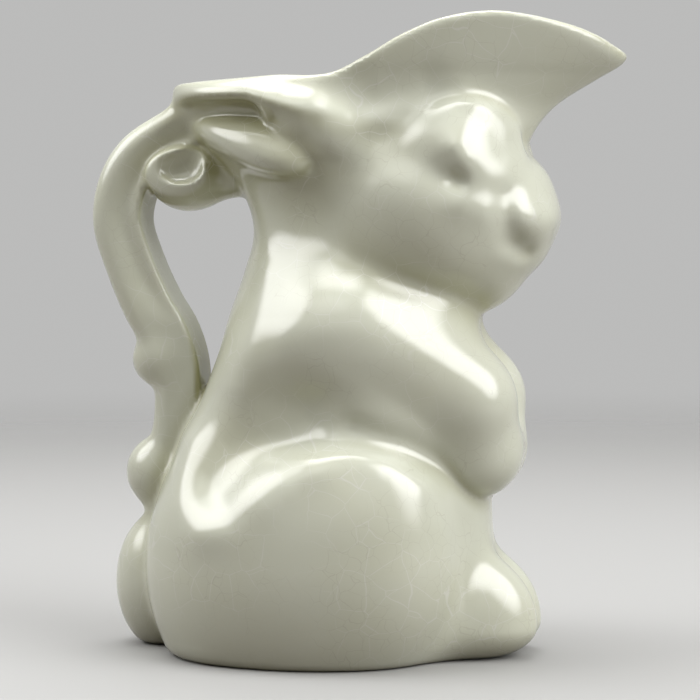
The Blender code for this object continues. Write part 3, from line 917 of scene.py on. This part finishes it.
def glaze():
    material = bpy.data.materials.new("celadon_glaze")
    material.use_nodes = True
    nodes, links = material.node_tree.nodes, material.node_tree.links
    shader = nodes["Principled BSDF"]
    shader.inputs["IOR"].default_value = GLAZE_IOR
    shader.inputs["Metallic"].default_value = 0.0
    shader.inputs["Base Color"].default_value = (*GLAZE, 1)
    place = nodes.new("ShaderNodeTexCoord").outputs["Object"]

    # The recess measure turns the glaze to the darker, greener tone: partly real pooled glaze, partly
    # painted shade
    pool_and_shade = nodes.new("ShaderNodeAttribute")
    pool_and_shade.attribute_name = "pool_and_shade"
    ramp = nodes.new("ShaderNodeValToRGB")
    for stop, at, colour in zip(ramp.color_ramp.elements, POOLED_AND_SHADED_SPAN, (GLAZE, GLAZE_POOLED_AND_SHADED)):
        stop.position = at
        stop.color = (*colour, 1)
    links.new(pool_and_shade.outputs["Fac"], ramp.inputs["Fac"])
    clouds = noise(nodes, links, place, CLOUD_SCALE, CLOUD_DETAIL)
    cloudy = ranged(nodes, links, clouds.outputs["Fac"], CLOUD_SPAN, (0, CLOUD_SHARE))
    colour = tinted(nodes, links, cloudy, ramp.outputs["Color"], GLAZE_CLOUD)
    pale = crazing(nodes, links, place, *CRAZE_PALE_LINES)
    colour = tinted(nodes, links, pale, colour, CRAZE_PALE)
    dark = crazing(nodes, links, place, *CRAZE_DARK_LINES)
    colour = tinted(nodes, links, dark, colour, CRAZE_DARK)
    links.new(colour, shader.inputs["Base Color"])

    sheen = noise(nodes, links, place, SHEEN_SCALE)
    roughness = ranged(nodes, links, sheen.outputs["Fac"], SHEEN_SPAN, GLAZE_ROUGHNESS)
    links.new(roughness, shader.inputs["Roughness"])
    ripple = noise(nodes, links, place, RIPPLE_SCALE)
    bump = nodes.new("ShaderNodeBump")
    bump.inputs["Strength"].default_value = 1.0
    bump.inputs["Distance"].default_value = GLAZE_RIPPLE
    links.new(ripple.outputs["Fac"], bump.inputs["Height"])
    links.new(bump.outputs["Normal"], shader.inputs["Normal"])
    return material


# Pieces


def piece(name, faces, points, normals, pool_and_shade, material):
    used, local = np.unique(faces, return_inverse=True)
    mesh = bpy.data.meshes.new(name)
    mesh.from_pydata((points[used] * MM).tolist(), [], local.reshape(faces.shape).tolist())
    # The recess measure for pooled glaze and painted shade, stored on each point
    depth = mesh.attributes.new("pool_and_shade", "FLOAT", "POINT")
    depth.data.foreach_set("value", pool_and_shade[used].astype(np.float32))
    mesh.shade_smooth()
    mesh.normals_split_custom_set_from_vertices(normals[used].tolist())
    mesh.materials.append(material)
    made = bpy.data.objects.new(name + "_glazed", mesh)
    bpy.context.scene.collection.objects.link(made)
    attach(made, "root")
    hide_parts(name)


def sculpt():
    field, node, low = sample()
    points, on_skin, faces = net(field, node, low)
    normals = np.zeros_like(points)
    normals[:, 2] = 1
    pool_and_shade = np.zeros(len(points))
    points[on_skin], normals[on_skin] = settle(points[on_skin])
    # The recess measure, carried to the glaze for pooled glaze and painted shade
    pool_and_shade[on_skin] = pool_and_shade_depth(points[on_skin], normals[on_skin])
    material = glaze()
    for name, found in zip(NODES, faces):
        piece(name, found, points, normals, pool_and_shade, material)


# Stage


def seen(nodes, links):
    """1 for what the camera sees, straight or in a reflection, and 0 for the light on the object."""
    path = nodes.new("ShaderNodeLightPath")
    found = path.outputs["Is Camera Ray"]
    for ray in ("Is Glossy Ray", "Is Transmission Ray"):
        either = nodes.new("ShaderNodeMath")
        either.operation = "MAXIMUM"
        links.new(found, either.inputs[0])
        links.new(path.outputs[ray], either.inputs[1])
        found = either.outputs[0]
    return found


def mixed(nodes, links, factor, a, b):
    mix = nodes.new("ShaderNodeMixShader")
    links.new(factor, mix.inputs[0])
    links.new(a, mix.inputs[1])
    links.new(b, mix.inputs[2])
    return mix.outputs[0]


def floor_material():
    """Pale round the object, and fading out into the backdrop further off."""
    material = bpy.data.materials.new("floor")
    material.use_nodes = True
    nodes, links = material.node_tree.nodes, material.node_tree.links
    pale = nodes["Principled BSDF"]
    pale.inputs["Base Color"].default_value = (*FLOOR_COLOUR, 1)
    pale.inputs["Roughness"].default_value = FLOOR_ROUGHNESS
    dim = nodes.new("ShaderNodeBsdfDiffuse")
    dim.inputs["Color"].default_value = (*FLOOR_BOUNCE, 1)
    near = mixed(nodes, links, seen(nodes, links), dim.outputs[0], pale.outputs[0])
    place = nodes.new("ShaderNodeTexCoord")
    length = nodes.new("ShaderNodeVectorMath")
    length.operation = "LENGTH"
    links.new(place.outputs["Object"], length.inputs[0])
    fade = nodes.new("ShaderNodeMapRange")
    fade.interpolation_type = "SMOOTHERSTEP"
    fade.inputs["From Min"].default_value = FADE_FROM
    fade.inputs["From Max"].default_value = FADE_TO
    links.new(length.outputs["Value"], fade.inputs["Value"])
    clear = nodes.new("ShaderNodeBsdfTransparent")
    whole = mixed(nodes, links, fade.outputs["Result"], near, clear.outputs[0])
    links.new(whole, nodes["Material Output"].inputs["Surface"])
    return material


def floor():
    mesh = bpy.data.meshes.new("floor")
    half = FADE_TO
    corners = [(-half, -half, 0), (half, -half, 0), (half, half, 0), (-half, half, 0)]
    mesh.from_pydata(corners, [], [(0, 1, 2, 3)])
    mesh.materials.append(floor_material())
    made = bpy.data.objects.new("floor", mesh)
    bpy.context.scene.collection.objects.link(made)


def soften(light):
    """Lets the lamp's face fade out from its middle to its edges."""
    light.use_nodes = True
    nodes, links = light.node_tree.nodes, light.node_tree.links
    face = nodes.new("ShaderNodeNewGeometry")
    off_middle = nodes.new("ShaderNodeVectorMath")
    off_middle.operation = "DISTANCE"
    off_middle.inputs[1].default_value = SOFTBOX_MIDDLE
    links.new(face.outputs["Parametric"], off_middle.inputs[0])
    fade = nodes.new("ShaderNodeMapRange")
    fade.interpolation_type = "SMOOTHSTEP"
    fade.inputs["From Min"].default_value = SOFTBOX_EDGE
    fade.inputs["From Max"].default_value = SOFTBOX_CORE
    links.new(off_middle.outputs["Value"], fade.inputs["Value"])
    links.new(fade.outputs["Result"], nodes["Emission"].inputs["Strength"])


def lamp(name, place, size, power):
    light = bpy.data.lights.new(name, "AREA")
    light.shape = "RECTANGLE"
    light.size, light.size_y = size
    light.energy = power
    soften(light)
    made = bpy.data.objects.new(name, light)
    made.location = place
    made.rotation_euler = (Vector(LAMP_TARGET) - Vector(place)).to_track_quat("-Z", "Y").to_euler()
    bpy.context.scene.collection.objects.link(made)


def studio():
    world = bpy.data.worlds.new("studio")
    bpy.context.scene.world = world
    world.use_nodes = True
    nodes, links = world.node_tree.nodes, world.node_tree.links
    ambient = nodes["Background"]
    ambient.inputs["Color"].default_value = (*AMBIENT, 1)
    backdrop = nodes.new("ShaderNodeBackground")
    backdrop.inputs["Color"].default_value = (*BACKDROP, 1)
    whole = mixed(nodes, links, seen(nodes, links), ambient.outputs[0], backdrop.outputs[0])
    links.new(whole, nodes["World Output"].inputs["Surface"])
    for name, (place, size, power) in LAMPS.items():
        lamp(name, place, size, power)


def camera():
    data = bpy.data.cameras.new("camera")
    data.sensor_width = CAMERA_SENSOR
    data.lens = CAMERA_LENS
    data.clip_start = CAMERA_CLIP
    made = bpy.data.objects.new("camera", data)
    made.location = CAMERA_AT
    made.rotation_euler = (Vector(CAMERA_TARGET) - made.location).to_track_quat("-Z", "Y").to_euler()
    bpy.context.scene.collection.objects.link(made)
    bpy.context.scene.camera = made


sculpt()
floor()
studio()
camera()
bpy.context.scene.view_settings.view_transform = "Standard"
